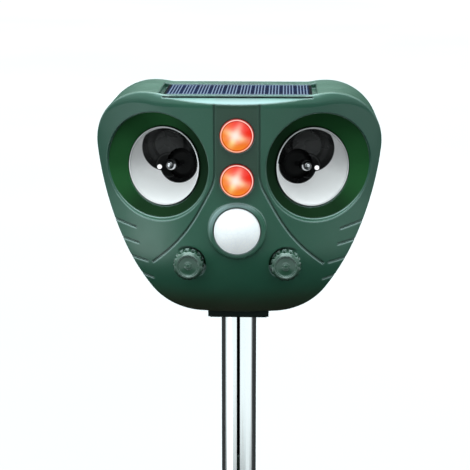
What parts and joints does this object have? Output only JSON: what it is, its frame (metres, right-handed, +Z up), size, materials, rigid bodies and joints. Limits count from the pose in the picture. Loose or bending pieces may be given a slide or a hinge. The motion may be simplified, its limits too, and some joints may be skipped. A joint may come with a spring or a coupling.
{
  "type": "ultrasonic pest repeller",
  "caption": "Solar ultrasonic pest repeller on a ground stake: a green head with flared sound horns, flashing lamps, a motion sensor, control knobs and a solar panel on top.",
  "frame": {"origin": "on the pole axis at ground level, where the spike's stop plate meets the soil", "axes": "+Z up along the pole; -Y is the way the face looks; +X to the right as seen from the front"},
  "size_m": [0.1594, 0.0851, 0.4213],
  "materials": {
    "housing_green": "satin moulded plastic",
    "knob_green": "satin moulded plastic",
    "black_plastic": "fine matt grain",
    "steel_tube": "polished stainless steel",
    "horn_silver": "vacuum metallised plastic",
    "driver_black": "gloss black",
    "plug_metal": "dark polished metal",
    "seal_rubber": "soft rubber",
    "led_lens": "clear red lens",
    "reflector": "metallised cup",
    "led_glow": "clear epoxy",
    "pir_white": "milky polyethylene",
    "retainer": "plain",
    "sensor_can": "plain",
    "solar_cell": "dark blue silicon with printed grid lines",
    "solar_cover": "clear resin",
    "foam_pad": "foam tape",
    "board": "solder mask",
    "components": "plain",
    "screw_steel": "zinc plated",
    "wire": "plain",
    "cell_wrap": "shrink sleeve",
    "contact": "nickel plated",
    "usb_metal": "plain"
  },
  "bodies": {
    "stake": {"ground_spike": "black_plastic", "lower_tube": "steel_tube", "tube_joiner": "black_plastic", "upper_tube": "steel_tube"},
    "sensitivity_control": {"sensitivity_knob": "knob_green", "sensitivity_shaft": "contact"},
    "frequency_control": {"frequency_knob": "knob_green", "frequency_shaft": "contact"},
    "power_slider": {"power_slider": "black_plastic"},
    "usb_flap": {"usb_flap": "seal_rubber"},
    "battery_door": {"battery_door": "housing_green", "battery_door_screw": "screw_steel", "battery_door_seal": "seal_rubber"},
    "head": {"front_housing": "housing_green", "rear_cover": "housing_green", "pole_socket": "black_plastic", "pole_socket_screws": "screw_steel", "housing_screws": "screw_steel", "board_screws": "screw_steel", "solar_cell": "solar_cell", "solar_panel_pad": "foam_pad", "solar_panel_cover": "solar_cover", "pir_lens": "pir_white", "pir_retainer": "retainer", "pir_sensor": "sensor_can", "strobe_leds": "led_glow", "upper_led_lens": "led_lens", "lower_led_lens": "led_lens", "upper_led_reflector": "reflector", "lower_led_reflector": "reflector", "main_board": "board", "board_components": "components", "wiring": "wire", "battery_cells": "cell_wrap", "battery_contacts": "contact", "battery_springs": "contact", "power_switch": "components", "usb_port": "usb_metal", "sensitivity_potentiometer": "components", "frequency_potentiometer": "components", "sensitivity_knob_seal": "seal_rubber", "frequency_knob_seal": "seal_rubber", "left_horn": "horn_silver", "left_driver": "driver_black", "left_phase_plug": "plug_metal", "left_horn_seal": "seal_rubber", "right_horn": "horn_silver", "right_driver": "driver_black", "right_phase_plug": "plug_metal", "right_horn_seal": "seal_rubber"}
  },
  "joints": [
    {"name": "head_swivel", "type": "hinge", "parent": "stake", "child": "head", "pos_m": [0, 0, 0.21], "axis": [0, 0, 1], "continuous": true},
    {"name": "sensitivity_turn", "type": "hinge", "parent": "head", "child": "sensitivity_control", "pos_m": [-0.0268, -0.03, 0.2315], "axis": [0, -1, 0], "range_deg": [-150, 150]},
    {"name": "frequency_turn", "type": "hinge", "parent": "head", "child": "frequency_control", "pos_m": [0.0268, -0.03, 0.2315], "axis": [0, -1, 0], "range_deg": [-150, 150]},
    {"name": "power_slide", "type": "slide", "parent": "head", "child": "power_slider", "axis": [1, 0, 0], "range_m": [0, 0.0044]},
    {"name": "battery_door_lift", "type": "slide", "parent": "head", "child": "battery_door", "axis": [0, 1, 0], "range_m": [0, 0.03]},
    {"name": "usb_flap_hinge", "type": "hinge", "parent": "head", "child": "usb_flap", "pos_m": [-0.05, 0.03935, 0.2813], "axis": [1, 0, 0], "range_deg": [0, 100]}
  ]
}
